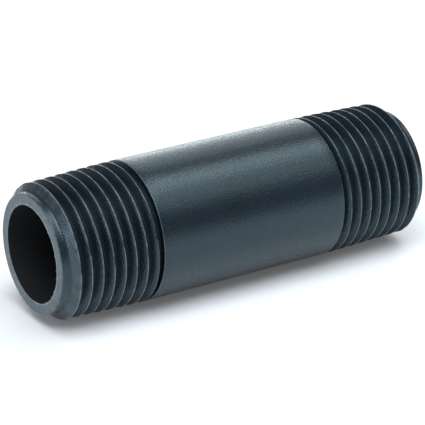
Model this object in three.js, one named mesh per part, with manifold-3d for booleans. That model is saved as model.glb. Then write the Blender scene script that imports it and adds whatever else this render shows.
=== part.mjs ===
// A half-inch threaded pipe nipple in moulded PVC: a plain round barrel between two
// tapered male pipe threads, with one bore right through. It is a single moulding.
//
// Millimetres. The bore axis is X, +Z is up and the origin is the middle of the bore,
// so the nipple lies along X, with its end faces at x = -LENGTH / 2 and x = +LENGTH / 2.
import * as THREE from 'three';
import { mergeVertices } from 'three/addons/utils/BufferGeometryUtils.js';
import Module from 'manifold-3d';

const INCH = 25.4;

// Overall sizes: nominal half-inch pipe, nominal length two and a half inches.
const LENGTH = 2.5 * INCH;
const BARREL_RADIUS = 0.84 * INCH / 2;
const BORE_RADIUS = 7.35;

// Thread form: NPT 1/2-14, right hand, 60 degree flanks, tapered 1 in 16 on diameter.
const PITCH = INCH / 14;
const RADIAL_TAPER = 1 / 32;
const END_PITCH_RADIUS = 0.75843 * INCH / 2;
const HALF_FLANK_ANGLE = THREE.MathUtils.degToRad(30);
const SHARP_HEIGHT = PITCH * Math.cos(HALF_FLANK_ANGLE);
const TRUNCATION = 0.096 * PITCH;
const HALF_DEPTH = SHARP_HEIGHT / 2 - TRUNCATION;
const HALF_FOOT = PITCH / 4 + HALF_DEPTH * Math.tan(HALF_FLANK_ANGLE);

// Crests next to the barrel stay this far below its surface.
const CREST_BELOW_BARREL = 0.02;

// The round is divided into this many flats, and a blunt thread start rises over a few of them.
const ROUND_STEPS = 40;
const START_STEPS = 3;

// Each thread starts at an angle about +X, counted from +Y, with its crest at this distance
// from its own end face. It winds towards the barrel, right-handed at both ends, and its
// length is counted from the end face to the barrel's shoulder.
const LEFT_THREAD = { side: -1, startAngle: 0, startDistance: 1.47, length: 16.05 };
const RIGHT_THREAD = { side: 1, startAngle: 297, startDistance: 1.17, length: 15.8 };

// Edge breaks on the end faces, the bore mouths and the barrel's shoulders.
const RIM_CHAMFER = 0.15;
const MOUTH_CHAMFER = 0.06;
const SHOULDER_CHAMFER = 0.15;

// How far a cutting solid runs past the face it cuts.
const OVERRUN = 1;

const PVC_COLOUR = 0x3a4146;
const PVC_ROUGHNESS = 0.5;

function rootRadius(distance) {
  return END_PITCH_RADIUS - HALF_DEPTH + distance * RADIAL_TAPER;
}

function crestRadius(distance) {
  const tapered = END_PITCH_RADIUS + HALF_DEPTH + distance * RADIAL_TAPER;
  return Math.min(tapered, BARREL_RADIUS - CREST_BELOW_BARREL);
}

// A solid of revolution about X from a closed outline of [x, radius] points.
function turned(outline) {
  const profile = outline.map(([along, radius]) => new THREE.Vector2(radius, along));
  return new THREE.LatheGeometry(profile, ROUND_STEPS).rotateZ(-Math.PI / 2);
}

function barrelGeometry() {
  const left = LEFT_THREAD.length - LENGTH / 2;
  const right = LENGTH / 2 - RIGHT_THREAD.length;
  return turned([
    [left, 0],
    [left, BARREL_RADIUS - SHOULDER_CHAMFER],
    [left + SHOULDER_CHAMFER, BARREL_RADIUS],
    [right - SHOULDER_CHAMFER, BARREL_RADIUS],
    [right, BARREL_RADIUS - SHOULDER_CHAMFER],
    [right, 0],
  ]);
}

function boreGeometry() {
  const end = LENGTH / 2;
  const mouth = BORE_RADIUS + MOUTH_CHAMFER;
  return turned([
    [-end - OVERRUN, 0],
    [-end - OVERRUN, mouth + OVERRUN],
    [-end + MOUTH_CHAMFER, BORE_RADIUS],
    [end - MOUTH_CHAMFER, BORE_RADIUS],
    [end + OVERRUN, mouth + OVERRUN],
    [end + OVERRUN, 0],
  ]);
}

// The ridge's section at one step: foot, crest, crest and foot, as [distance, radius].
// It closes to a point at both ends of the ridge.
function ridgeSection(thread, step, lastStep) {
  const centre = thread.startDistance + PITCH * step / ROUND_STEPS;
  const rise = Math.min(step / START_STEPS, 1);
  if (step === 0 || step === lastStep) {
    return [[centre, rootRadius(centre)]];
  }
  const height = rise * (crestRadius(centre) - rootRadius(centre));
  const halfTop = HALF_FOOT - height * Math.tan(HALF_FLANK_ANGLE);
  return [
    [centre - HALF_FOOT, rootRadius(centre - HALF_FOOT)],
    [centre - halfTop, rootRadius(centre) + height],
    [centre + halfTop, rootRadius(centre) + height],
    [centre + HALF_FOOT, rootRadius(centre + HALF_FOOT)],
  ];
}

// One threaded end as a closed solid without a bore. It reaches past the shoulder, so that
// the ridge runs out inside the barrel.
function threadedEndGeometry(thread) {
  const runOut = thread.length + HALF_FOOT - thread.startDistance;
  const lastStep = Math.ceil(runOut / PITCH * ROUND_STEPS) + 1;
  const innerDistance = thread.startDistance + PITCH * lastStep / ROUND_STEPS + OVERRUN;
  const positions = [];
  const faces = [];

  const addPoint = (step, distance, radius) => {
    const angle = THREE.MathUtils.degToRad(thread.startAngle - thread.side * step * 360 / ROUND_STEPS);
    const x = thread.side * (LENGTH / 2 - distance);
    positions.push(x, radius * Math.cos(angle), radius * Math.sin(angle));
    return positions.length / 3 - 1;
  };
  const addRing = (distance, radius) => Array.from(
    { length: ROUND_STEPS },
    (_, step) => addPoint(step, distance, radius),
  );
  const addFan = (corners) => {
    for (let i = 1; i < corners.length - 1; i += 1) {
      const triangle = [corners[0], corners[i], corners[i + 1]];
      if (new Set(triangle).size === 3) {
        faces.push(...triangle);
      }
    }
  };
  const wrap = (step) => step % ROUND_STEPS;

  const faceCentre = addPoint(0, 0, 0);
  const faceEdge = addRing(0, rootRadius(0) - RIM_CHAMFER);
  const rim = addRing(RIM_CHAMFER, rootRadius(RIM_CHAMFER));
  const inner = addRing(innerDistance, rootRadius(innerDistance));
  const innerCentre = addPoint(0, innerDistance, 0);
  const ridge = [];
  for (let step = 0; step <= lastStep; step += 1) {
    const section = ridgeSection(thread, step, lastStep);
    const corners = section.map(([distance, radius]) => addPoint(step, distance, radius));
    ridge.push(corners.length === 1 ? Array(4).fill(corners[0]) : corners);
  }
  const nearFoot = (step) => ridge[step][0];
  const farFoot = (step) => ridge[step][3];

  for (let step = 0; step < ROUND_STEPS; step += 1) {
    const next = wrap(step + 1);
    addFan([faceCentre, faceEdge[step], faceEdge[next]].reverse());
    addFan([faceEdge[step], faceEdge[next], rim[next], rim[step]]);
    addFan([innerCentre, inner[next], inner[step]].reverse());
  }
  // The ridge's flanks and crest.
  for (let step = 0; step < lastStep; step += 1) {
    for (let corner = 0; corner < 3; corner += 1) {
      const here = ridge[step];
      const there = ridge[step + 1];
      addFan([here[corner], there[corner], there[corner + 1], here[corner + 1]]);
    }
  }
  // The root between one turn and the next.
  for (let step = 0; step < lastStep - ROUND_STEPS; step += 1) {
    const beyond = step + ROUND_STEPS;
    addFan([farFoot(step), farFoot(step + 1), nearFoot(beyond + 1), nearFoot(beyond)]);
  }
  // The plain root before the first turn, and after the last one. Where the turn closes,
  // the ridge's pointed end lies on the edge between two of these flats.
  for (let step = 0; step < ROUND_STEPS - 1; step += 1) {
    addFan([rim[step], rim[step + 1], nearFoot(step + 1), nearFoot(step)]);
  }
  const before = ROUND_STEPS - 1;
  addFan([nearFoot(before), rim[before], rim[0], nearFoot(0), nearFoot(ROUND_STEPS)]);
  const lastTurn = lastStep - ROUND_STEPS;
  for (let step = lastTurn + 1; step < lastStep; step += 1) {
    addFan([farFoot(step), farFoot(step + 1), inner[wrap(step + 1)], inner[wrap(step)]]);
  }
  const after = lastTurn + 1;
  addFan([farFoot(after), inner[wrap(after)], inner[wrap(lastTurn)], farFoot(lastStep), farFoot(lastTurn)]);

  const geometry = new THREE.BufferGeometry();
  geometry.setAttribute('position', new THREE.Float32BufferAttribute(positions, 3));
  geometry.setIndex(faces);
  return geometry;
}

function toSolid(wasm, geometry) {
  const bare = geometry.clone();
  bare.deleteAttribute('normal');
  bare.deleteAttribute('uv');
  const merged = mergeVertices(bare, 1e-4);
  return new wasm.Manifold(new wasm.Mesh({
    numProp: 3,
    vertProperties: new Float32Array(merged.attributes.position.array),
    triVerts: new Uint32Array(merged.index.array),
  }));
}

function toGeometry(solid) {
  const mesh = solid.getMesh();
  const geometry = new THREE.BufferGeometry();
  geometry.setAttribute('position', new THREE.BufferAttribute(mesh.vertProperties, 3));
  geometry.setIndex(new THREE.BufferAttribute(mesh.triVerts, 1));
  geometry.computeVertexNormals();
  return geometry;
}

function pvcMaterial() {
  return new THREE.MeshStandardMaterial({
    color: PVC_COLOUR,
    roughness: PVC_ROUGHNESS,
    metalness: 0,
  });
}

// The one piece: a barrel with a threaded end on each side, bored right through.
function pipeNipple(wasm) {
  const solid = toSolid(wasm, barrelGeometry())
    .add(toSolid(wasm, threadedEndGeometry(LEFT_THREAD)))
    .add(toSolid(wasm, threadedEndGeometry(RIGHT_THREAD)))
    .subtract(toSolid(wasm, boreGeometry()));
  const mesh = new THREE.Mesh(toGeometry(solid), pvcMaterial());
  mesh.name = 'pipe_nipple';
  return mesh;
}

const wasm = await Module();
wasm.setup();

const nipple = new THREE.Group();
nipple.add(pipeNipple(wasm));

export default nipple;
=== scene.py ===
"""A half-inch threaded PVC pipe nipple, lying on its side on a pale studio floor."""

import math

import bmesh
import bpy
import numpy as np
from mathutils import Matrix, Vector


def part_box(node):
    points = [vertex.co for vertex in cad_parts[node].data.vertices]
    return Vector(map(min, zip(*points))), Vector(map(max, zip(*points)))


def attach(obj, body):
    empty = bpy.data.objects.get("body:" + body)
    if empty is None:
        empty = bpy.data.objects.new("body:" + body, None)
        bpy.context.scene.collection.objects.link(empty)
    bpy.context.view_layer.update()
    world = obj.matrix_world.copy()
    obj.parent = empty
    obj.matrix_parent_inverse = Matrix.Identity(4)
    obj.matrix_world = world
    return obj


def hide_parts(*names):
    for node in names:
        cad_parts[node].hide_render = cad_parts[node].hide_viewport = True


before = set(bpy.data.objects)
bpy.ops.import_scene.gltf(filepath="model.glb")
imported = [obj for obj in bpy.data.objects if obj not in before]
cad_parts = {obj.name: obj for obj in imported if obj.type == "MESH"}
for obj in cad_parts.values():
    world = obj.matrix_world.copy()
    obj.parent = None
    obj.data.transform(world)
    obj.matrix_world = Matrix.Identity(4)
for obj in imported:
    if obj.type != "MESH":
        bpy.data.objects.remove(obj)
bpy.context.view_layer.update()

NODE = "pipe_nipple"
MM = 0.001
INCH = 25.4 * MM

# ---------------------------------------------------------------- sizes, in metres
node_low, node_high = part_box(NODE)
LENGTH = node_high.x - node_low.x
BARREL_RADIUS = node_high.z
FLOOR_HEIGHT = node_low.z
BORE_RADIUS = 7.35 * MM

# Thread form: 1/2-14 NPT, with the same pitch, taper and depth as the CAD part. Its crests
# and roots are a little narrower than the CAD's.
PITCH = INCH / 14
RADIAL_TAPER = 1 / 32
END_PITCH_RADIUS = 0.75843 * INCH / 2
HALF_DEPTH = PITCH * (math.cos(math.radians(30)) / 2 - 0.096)
HALF_CREST = 0.05 * MM
HALF_FOOT = PITCH / 2 - 0.03 * MM
CREST_BELOW_BARREL = 0.02 * MM
CREST_ROUNDING = 0.03 * MM
ROOT_ROUNDING = 0.05 * MM

# Each thread starts at an angle about +X, counted from +Y, and its crest starts this far
# from its own end face. side is -1 at the left end and +1 at the right end. The threaded
# length, up to the shoulder, differs a little between the two ends.
LEFT_THREAD = {
    "side": -1,
    "start_angle": 0,
    "start_distance": 1.47 * MM,
    "length": 16.05 * MM,
}
RIGHT_THREAD = {
    "side": 1,
    "start_angle": 297,
    "start_distance": 1.17 * MM,
    "length": 15.8 * MM,
}
START_RISE_TURNS = 0.075

# The flank of the first ridge that faces the end is laid back a little, and goes back to
# the plain flank over the last part of its turn. A fine witness line from the mould crosses
# the left end's first ridge, this far round from its start.
LEAD_WIDENING = 0.2 * MM
LEAD_FADE_TURNS = 0.2
WITNESS_TURNS = 49.5 / 360
WITNESS_WIDTH_TURNS = 0.0022
WITNESS_DEPTH = 0.15 * MM

# The surface finish runs from 1, pale, through 0, as moulded, to -1, dull. The pale end is
# partly real rubbing on the crests and partly painted light: a painted highlight on the
# crests, the shoulder edges, the mouth lip and the burr, and paint on the end faces and the
# first flanks that stands in for reflected light. The dull end, in the bore and the thread
# roots, is smooth (no grain bump), rougher and less glossy, and is painted a paler grey
# that lifts their shade. The crests are also bruised, by a share of their height, and a
# ragged burr stands into the left mouth of the bore.
CREST_NICKS = 0.05
CREST_WEAR_AND_HIGHLIGHT = 0.8
PAINTED_EDGE_HIGHLIGHT = 0.7
PAINTED_FACE_LIGHT = 0.35
PAINTED_LEAD_LIGHT = 0.2
ROOT_DULLNESS_AND_FILL = 0.8
BORE_FINISH = -1
BURR = 0.26 * MM
PAINTED_BURR_HIGHLIGHT = 1.2

# Edge roundings, and the length of bore behind each mouth that takes up the ragged edge.
RIM_ROUNDING = 0.15 * MM
MOUTH_ROUNDING = 0.06 * MM
MOUTH_MARGIN = 0.08 * MM
SHOULDER_ROUNDING = 0.12 * MM

# Mesh resolution: columns round the axis, and rows across one pitch of thread, given as
# shares of the half pitch from the middle of the crest to the middle of the root.
COLUMNS = 240
WITNESS_COLUMNS = 10
HALF_PITCH_ROWS = (0.0, 0.047, 0.07, 0.13, 0.45, 0.75, 0.93, 1.0)
BARREL_ROWS = 24
BORE_ROWS = 24
FACE_ROWS = 6
ARC_ROWS = 4
WALL_ROWS = 3
WELD = 0.002 * MM

# Colours, in linear RGB, and the spacing of each noise in the plastic, in cells per metre.
BODY_DARK = (0.004, 0.0075, 0.014, 1)
BODY_PALE = (0.007, 0.0125, 0.021, 1)
# A paler grey painted into the bore and thread roots to lift their shade.
PAINTED_FILL_GREY = (0.02, 0.02, 0.021, 1)
# A pale grey for the rubbed crests, which also paints highlights and light on edges and
# faces.
RUBBED_AND_PAINTED_LIGHT_GREY = (0.16, 0.2, 0.22, 1)
SPECK_GREY = (0.2, 0.24, 0.25, 1)
SHEEN_TINT = (0.64, 0.9, 1.0, 1)
FLOOR_WHITE = (0.87, 0.9, 0.92, 1)
GRAIN_SCALE = 4200
SPECK_SCALE = 3400
PATCH_SCALE = 900
CLOUD_SCALE = 120
GRAIN_BUMP = 0.04 * MM

# The studio: half the floor's side, the glow of the floor and the world, and lamp colours.
FLOOR_REACH = 6
FLOOR_GLOW = 0.08
WORLD_GLOW = 0.19
COOL = (0.88, 0.98, 1.0)
KEY_BLUE = (0.92, 0.96, 1.0)
LOW_BLUE = (0.86, 0.9, 1.0)


# ---------------------------------------------------------------- camera
def make_camera():
    """A view from the front left, a little above, with a long lens."""
    azimuth, elevation = math.radians(-32.33), math.radians(23.11)
    distance, lens = 0.38795, 218.5
    aim = Vector((-0.86 * MM, 0, 0))
    drop = 0.42 * MM
    back = Vector((
        math.sin(azimuth) * math.cos(elevation),
        -math.cos(azimuth) * math.cos(elevation),
        math.sin(elevation),
    ))
    camera = bpy.data.objects.new("camera", bpy.data.cameras.new("camera"))
    camera.rotation_mode = "QUATERNION"
    camera.rotation_quaternion = (-back).to_track_quat("-Z", "Y")
    up = camera.rotation_quaternion @ Vector((0, 1, 0))
    camera.location = aim + back * distance - up * drop
    camera.data.lens = lens
    camera.data.sensor_width = 36
    camera.data.clip_start, camera.data.clip_end = 0.01, 50
    bpy.context.scene.collection.objects.link(camera)
    bpy.context.scene.camera = camera


# ---------------------------------------------------------------- shape of the nipple
def smooth_min(a, b, width):
    blend = np.maximum(1 - np.abs(a - b) / width, 0)
    return np.minimum(a, b) - width / 4 * blend**2


def smooth_max(a, b, width):
    return -smooth_min(-a, -b, width)


def ease(share):
    """A smooth step from 0 to 1."""
    share = np.clip(share, 0, 1)
    return share * share * (3 - 2 * share)


def nicks(angle):
    """Small uneven bruises along a line, from 0 to 1, that repeat every few turns."""
    waves = [(7, 0.3), (19, 1.1), (31, 2.4), (53, 4.0), (71, 5.2)]
    total = sum(np.sin(angle * count / 3 + phase) for count, phase in waves)
    return np.clip(total / 2 - 0.6, 0, 1)


def root_radius(distance):
    return END_PITCH_RADIUS - HALF_DEPTH + distance * RADIAL_TAPER


def crest_radius(distance):
    tapered = END_PITCH_RADIUS + HALF_DEPTH + distance * RADIAL_TAPER
    return np.minimum(tapered, BARREL_RADIUS - CREST_BELOW_BARREL)


def thread_radius(thread, distance, turns):
    """The outside radius at a distance from the end face, turns round from the start.

    Also returns the finish there: up to 1 on rubbed crests, which also carry a painted
    highlight, with painted light on the first flank; below 0 in the dull roots, which take
    a paler painted fill that lifts their shade."""
    winding = (distance - thread["start_distance"]) / PITCH - turns
    ridge = np.maximum(np.round(winding), 0)
    offset = np.abs(winding - ridge) * PITCH
    along = ridge + turns
    full_depth = crest_radius(distance) - root_radius(distance)
    depth = full_depth * ease(along / START_RISE_TURNS)
    lead_flank = ((ridge == 0) & (winding < ridge)) * ease((1 - turns) / LEAD_FADE_TURNS)
    foot = HALF_FOOT + LEAD_WIDENING * lead_flank
    flank = (foot - offset) / (foot - HALF_CREST) * 2 * HALF_DEPTH
    height = smooth_min(flank, depth, CREST_ROUNDING)
    height = smooth_max(height, 0 * height, ROOT_ROUNDING)
    if thread is LEFT_THREAD:
        witness = np.exp(-(((along - WITNESS_TURNS) / WITNESS_WIDTH_TURNS) ** 2))
        height = height - witness * np.minimum(height, WITNESS_DEPTH)
    height = height * (1 - CREST_NICKS * nicks(along * 2 * math.pi))
    share = height / (2 * HALF_DEPTH)
    # Pale crests: partly rubbing, partly a painted highlight. The first flank is painted
    # lighter, standing in for reflected floor light.
    wear_and_painted_light = CREST_WEAR_AND_HIGHLIGHT * ease(12 * share - 11) + PAINTED_LEAD_LIGHT * lead_flank * ease(4 * share)
    along_groove = np.floor(winding) + turns
    # The roots are dulled and painted a paler grey that lifts their shade (painted fill).
    dullness_and_fill = ROOT_DULLNESS_AND_FILL * ease(along_groove / 0.2) * ease(1 - 5 * share)
    return root_radius(distance) + height, wear_and_painted_light - dullness_and_fill


class Skin:
    """Collects the rows of points that make up the nipple's surface."""

    def __init__(self):
        self.points, self.faces, self.worn_and_painted_light = [], [], []

    def add_grid(self, x, radius, angle, worn_and_painted_light=None):
        """A grid of quads, from arrays of rows by columns. worn is each point's finish,
        which carries rubbing, painted highlights, painted light and a painted fill.
        """
        x, radius, angle = np.broadcast_arrays(x, radius, angle)
        rows, columns = x.shape
        first = sum(len(p) for p in self.points)
        place = np.stack([x, radius * np.cos(angle), radius * np.sin(angle)], -1)
        self.points.append(place.reshape(-1, 3))
        worn_and_painted_light = np.zeros(x.shape) if worn_and_painted_light is None else np.broadcast_to(worn_and_painted_light, x.shape)
        self.worn_and_painted_light.append(worn_and_painted_light.reshape(-1))
        index = first + np.arange(rows * columns).reshape(rows, columns)
        corners = [index[:-1, :-1], index[:-1, 1:], index[1:, 1:], index[1:, :-1]]
        quads = np.stack(corners, -1)
        self.faces.append(quads.reshape(-1, 4))


def angles_around():
    """Evenly spaced angles round the axis, with extra ones across the witness line."""
    even = np.arange(COLUMNS) * 360 / COLUMNS
    middle = LEFT_THREAD["start_angle"] + WITNESS_TURNS * 360
    reach = 3 * WITNESS_WIDTH_TURNS * 360
    fine = np.linspace(middle - reach, middle + reach, WITNESS_COLUMNS + 1)
    return np.sort(np.concatenate([even[np.abs(even - middle) > reach], fine]))


def columns_of(thread):
    """The turns round from a thread's start, from 0 to 1, and the angle at each."""
    angle = angles_around()
    turns = (thread["side"] * (thread["start_angle"] - angle) / 360) % 1
    order = np.argsort(turns)
    angle = np.radians(angle[order])
    return np.append(turns[order], 1), np.append(angle, angle[0])


def add_threaded_end(skin, thread):
    side = thread["side"]
    turns, angle = columns_of(thread)
    half = np.array(HALF_PITCH_ROWS) / 2
    one_pitch = np.unique(np.concatenate([half, 1 - half]))[:-1]
    count = math.ceil(thread["length"] / PITCH) + 3
    rows = (np.arange(-2, count)[:, None] + one_pitch).reshape(-1, 1)
    distance = thread["start_distance"] + PITCH * (rows + turns)
    distance = np.clip(distance, RIM_ROUNDING, thread["length"])
    radius, wear_and_painted_light = thread_radius(thread, distance, turns)
    skin.add_grid(side * (LENGTH / 2 - distance), radius, angle, wear_and_painted_light)
    add_shoulder(skin, thread)
    add_rim(skin, thread)


def add_shoulder(skin, thread):
    """The step from the thread up to the barrel, with its rounded edge, which carries a
    painted highlight.
    """
    turns, angle = columns_of(thread)
    thread_end, _ = thread_radius(thread, np.full(turns.shape, thread["length"]), turns)
    top = BARREL_RADIUS - SHOULDER_ROUNDING
    share = np.linspace(0, 1, WALL_ROWS + 1)[:, None]
    wall = thread_end + (np.maximum(top, thread_end) - thread_end) * share
    arc = np.linspace(0, math.pi / 2, ARC_ROWS + 1)[:, None]
    arc_radius = np.maximum(top + SHOULDER_ROUNDING * np.sin(arc), wall[-1])
    arc_distance = thread["length"] + SHOULDER_ROUNDING * (1 - np.cos(arc))
    wall_distance = np.full(wall.shape, thread["length"])
    distance = np.concatenate([wall_distance, arc_distance + 0 * arc_radius])
    radius = np.concatenate([wall, arc_radius])
    # The rounded edge is painted pale: a painted highlight.
    wear_and_painted_light = np.concatenate([0 * wall, PAINTED_EDGE_HIGHLIGHT * np.sin(2 * arc) + 0 * arc_radius])
    skin.add_grid(thread["side"] * (LENGTH / 2 - distance), radius, angle, wear_and_painted_light)


def burr(angle):
    """How far the ragged burr stands into the bore's left mouth: most on the -Y side."""
    return BURR * (0.25 + nicks(angle * 6)) * (0.6 - 0.4 * np.cos(angle))


def add_rim(skin, thread):
    """The end face with its rounded outer edge and the rounded mouth of the bore. The face
    and rim are painted paler to stand in for reflected light, and the mouth lip and the
    left burr carry a painted highlight.
    """
    _, angle = columns_of(thread)
    outer = root_radius(RIM_ROUNDING)
    arc = np.linspace(0, math.pi / 2, ARC_ROWS + 1)
    rim_radius = outer - RIM_ROUNDING * (1 - np.sin(arc))
    rim_distance = RIM_ROUNDING * (1 - np.cos(arc))
    mouth_radius = BORE_RADIUS + MOUTH_ROUNDING * (1 - np.cos(arc))
    mouth_distance = MOUTH_ROUNDING * (1 - np.sin(arc))
    face_radius = np.linspace(mouth_radius[-1], rim_radius[0], FACE_ROWS + 1)[1:-1]
    radius = np.concatenate([mouth_radius, face_radius, rim_radius])[:, None]
    distance = np.concatenate([mouth_distance, 0 * face_radius, rim_distance])[:, None]
    lip = np.concatenate([np.sin(arc), 0 * face_radius, 0 * rim_radius])[:, None]
    # The face and rim are painted paler, standing in for reflected light, and the mouth lip
    # takes a painted highlight.
    wear_and_painted_light = np.maximum(PAINTED_FACE_LIGHT * (distance < RIM_ROUNDING), PAINTED_EDGE_HIGHLIGHT * lip)
    if thread is LEFT_THREAD:
        radius = radius - burr(angle) * lip
        # The burr takes a painted highlight, strongest on the -Y side.
        wear_and_painted_light = wear_and_painted_light + PAINTED_BURR_HIGHLIGHT * lip * (0.5 - 0.5 * np.cos(angle))
    skin.add_grid(thread["side"] * (LENGTH / 2 - distance), radius, angle, wear_and_painted_light)


def add_barrel_and_bore(skin):
    _, angle = columns_of(LEFT_THREAD)
    left = LEFT_THREAD["length"] + SHOULDER_ROUNDING - LENGTH / 2
    right = LENGTH / 2 - RIGHT_THREAD["length"] - SHOULDER_ROUNDING
    x = np.linspace(left, right, BARREL_ROWS + 1)[:, None]
    skin.add_grid(x, BARREL_RADIUS, angle)
    reach = LENGTH / 2 - MOUTH_ROUNDING
    inner = np.linspace(-reach + MOUTH_MARGIN, reach - MOUTH_MARGIN, BORE_ROWS + 1)
    x = np.concatenate([[-reach], inner, [reach]])[:, None]
    # The bore is dulled and painted a paler grey that lifts its shade (painted fill).
    skin.add_grid(x, BORE_RADIUS, angle, BORE_FINISH)


def make_nipple():
    skin = Skin()
    add_threaded_end(skin, LEFT_THREAD)
    add_threaded_end(skin, RIGHT_THREAD)
    add_barrel_and_bore(skin)
    mesh = bpy.data.meshes.new("nipple_moulding")
    mesh.from_pydata(np.concatenate(skin.points), [], np.concatenate(skin.faces).tolist())
    # This attribute carries the finish: rubbing, painted highlights, painted light and
    # painted fill.
    worn_and_painted_light = mesh.attributes.new("wear_and_painted_light", "FLOAT", "POINT")
    worn_and_painted_light.data.foreach_set("value", np.concatenate(skin.worn_and_painted_light).astype(np.float32))
    shape = bmesh.new()
    shape.from_mesh(mesh)
    bmesh.ops.remove_doubles(shape, verts=shape.verts, dist=WELD)
    bmesh.ops.dissolve_degenerate(shape, edges=shape.edges, dist=WELD / 10)
    bmesh.ops.recalc_face_normals(shape, faces=shape.faces)
    shape.to_mesh(mesh)
    shape.free()
    mesh.shade_smooth()
    nipple = bpy.data.objects.new("nipple_moulding", mesh)
    bpy.context.scene.collection.objects.link(nipple)
    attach(nipple, "root")
    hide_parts(NODE)
    return nipple


# ---------------------------------------------------------------- materials
def new_material(name):
    material = bpy.data.materials.new(name)
    material.use_nodes = True
    return material, material.node_tree.nodes, material.node_tree.links


def speckle(nodes, links, coordinates, scale, detail=2.0):
    """Fine noise fixed to the object, in cells per metre."""
    texture = nodes.new("ShaderNodeTexNoise")
    texture.inputs["Scale"].default_value = scale
    texture.inputs["Detail"].default_value = detail
    links.new(coordinates, texture.inputs["Vector"])
    return texture.outputs["Fac"]


def remap(nodes, links, value, low, high, to_low, to_high):
    """Maps low..high to to_low..to_high, and holds the ends outside that range."""
    node = nodes.new("ShaderNodeMapRange")
    ends = {"From Min": low, "From Max": high, "To Min": to_low, "To Max": to_high}
    for name, number in ends.items():
        node.inputs[name].default_value = number
    links.new(value, node.inputs["Value"])
    return node.outputs["Result"]


def combine(nodes, links, operation, first, second):
    node = nodes.new("ShaderNodeMath")
    node.operation = operation
    links.new(first, node.inputs[0])
    links.new(second, node.inputs[1])
    return node.outputs["Value"]


def mix_colour(nodes, links, share, first, second):
    node = nodes.new("ShaderNodeMix")
    node.data_type = "RGBA"
    for name, value in (("Factor", share), ("A", first), ("B", second)):
        socket = next(i for i in node.inputs if i.name == name and i.enabled)
        if isinstance(value, tuple):
            socket.default_value = value
        else:
            links.new(value, socket)
    return node.outputs["Result"]


def pvc_material():
    """Charcoal moulded PVC: satin, finely grained, paler where the crests are rubbed, with
    painted highlights and painted light where the finish is above 0, and a paler painted
    fill in the dull bore and roots.
    """
    material, nodes, links = new_material("moulded_pvc")
    surface = nodes["Principled BSDF"]
    place = nodes.new("ShaderNodeTexCoord").outputs["Object"]

    grain = speckle(nodes, links, place, GRAIN_SCALE)
    clouds = speckle(nodes, links, place, CLOUD_SCALE)
    tone = remap(nodes, links, clouds, 0.3, 0.7, 0, 1)
    body = mix_colour(nodes, links, tone, BODY_DARK, BODY_PALE)

    finish = nodes.new("ShaderNodeAttribute")
    finish.attribute_name = "wear_and_painted_light"
    finish = finish.outputs["Fac"]
    patches = speckle(nodes, links, place, PATCH_SCALE)
    patches = remap(nodes, links, patches, 0.35, 0.65, 0.4, 1)
    # Above 0 the finish paints the pale grey: rubbing on the crests, and painted highlights
    # and painted light elsewhere.
    rubbed_and_painted_light = remap(nodes, links, finish, 0, 1, 0, 1)
    rubbed_and_painted_light = combine(nodes, links, "MULTIPLY", rubbed_and_painted_light, patches)
    # Below 0 the finish paints a paler grey into the bore and roots, a painted fill that
    # lifts their shade.
    dull_and_painted_fill = remap(nodes, links, finish, BORE_FINISH, 0, 1, 0)
    body = mix_colour(nodes, links, dull_and_painted_fill, body, PAINTED_FILL_GREY)
    worn_and_painted_light = mix_colour(nodes, links, rubbed_and_painted_light, body, RUBBED_AND_PAINTED_LIGHT_GREY)
    speck = speckle(nodes, links, place, SPECK_SCALE, 1)
    speck = remap(nodes, links, speck, 0.74, 0.78, 0, 0.25)
    painted = mix_colour(nodes, links, speck, worn_and_painted_light, SPECK_GREY)
    links.new(painted, surface.inputs["Base Color"])

    rough = remap(nodes, links, grain, 0.3, 0.7, 0.24, 0.34)
    rougher = remap(nodes, links, dull_and_painted_fill, 0, 1, 0, 0.35)
    links.new(combine(nodes, links, "ADD", rough, rougher), surface.inputs["Roughness"])
    sheen = remap(nodes, links, finish, BORE_FINISH, 0, 0.05, 0.5)
    links.new(sheen, surface.inputs["Specular IOR Level"])
    surface.inputs["IOR"].default_value = 1.62
    surface.inputs["Specular Tint"].default_value = SHEEN_TINT

    bump = nodes.new("ShaderNodeBump")
    bump.inputs["Distance"].default_value = GRAIN_BUMP
    links.new(remap(nodes, links, finish, BORE_FINISH, 0, 0, 0.9), bump.inputs["Strength"])
    links.new(grain, bump.inputs["Height"])
    links.new(bump.outputs["Normal"], surface.inputs["Normal"])
    return material


def floor_material():
    material, nodes, links = new_material("studio_floor")
    surface = nodes["Principled BSDF"]
    surface.inputs["Base Color"].default_value = FLOOR_WHITE
    surface.inputs["Roughness"].default_value = 1.0
    surface.inputs["Specular IOR Level"].default_value = 0.0
    surface.inputs["Emission Color"].default_value = (1, 1, 1, 1)
    surface.inputs["Emission Strength"].default_value = FLOOR_GLOW
    return material


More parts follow.
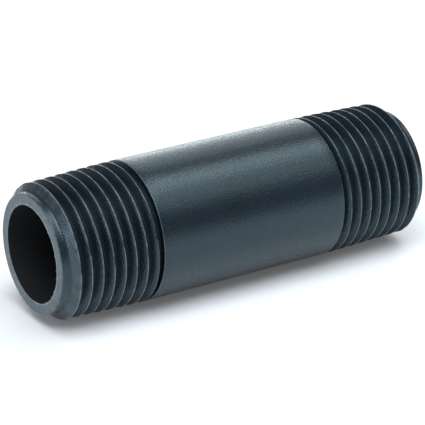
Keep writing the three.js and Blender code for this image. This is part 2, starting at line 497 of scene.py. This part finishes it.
# ---------------------------------------------------------------- studio
def make_floor():
    mesh = bpy.data.meshes.new("floor")
    corners = [(-1, -1), (1, -1), (1, 1), (-1, 1)]
    places = [(x * FLOOR_REACH, y * FLOOR_REACH, FLOOR_HEIGHT) for x, y in corners]
    mesh.from_pydata(places, [], [(0, 1, 2, 3)])
    floor = bpy.data.objects.new("floor", mesh)
    mesh.materials.append(floor_material())
    bpy.context.scene.collection.objects.link(floor)


def panel(
    name, azimuth, elevation, distance, width, height, brightness, colour=(1, 1, 1)
):
    """A soft rectangular lamp that faces the nipple from the given direction."""
    a, e = math.radians(azimuth), math.radians(elevation)
    out = Vector((math.sin(a) * math.cos(e), -math.cos(a) * math.cos(e), math.sin(e)))
    lamp = bpy.data.lights.new(name, "AREA")
    lamp.shape = "RECTANGLE"
    lamp.size, lamp.size_y = width, height
    lamp.energy = math.pi * width * height * brightness
    lamp.color = colour
    holder = bpy.data.objects.new(name, lamp)
    holder.location = out * distance
    holder.rotation_mode = "QUATERNION"
    holder.rotation_quaternion = (-out).to_track_quat("-Z", "Y")
    bpy.context.scene.collection.objects.link(holder)


def make_studio():
    """A pale floor that glows a little, and soft panels placed around the nipple.

    Each panel: azimuth, elevation, distance, width, height, brightness, and a colour where
    it isn't white. Azimuth 0 is in front."""
    scene = bpy.context.scene
    scene.view_settings.view_transform = "Standard"
    world = bpy.data.worlds.new("studio")
    world.use_nodes = True
    background = world.node_tree.nodes["Background"]
    background.inputs["Color"].default_value = (1, 1, 1, 1)
    background.inputs["Strength"].default_value = WORLD_GLOW
    scene.world = world
    make_floor()
    panel("back_low", 150, 4, 1.2, 1.0, 0.16, 5.2, COOL)
    panel("back_middle", 150, 22, 1.2, 0.8, 0.3, 1.9, COOL)
    panel("back_upper", 150, 42, 1.2, 0.6, 0.3, 1.6, COOL)
    panel("overhead", 90, 62, 1.0, 0.35, 0.35, 3.9)
    panel("overhead_near", 60, 60, 1.0, 0.35, 0.35, 1.2)
    panel("overhead_front", 45, 45, 1.0, 0.35, 0.35, 1.5)
    panel("key", -30, 68, 1.2, 1.0, 0.9, 5.1, KEY_BLUE)
    panel("left_low", -92, 8, 1.2, 0.5, 0.25, 7.8, LOW_BLUE)


make_camera()
nipple = make_nipple()
nipple.data.materials.append(pvc_material())
make_studio()
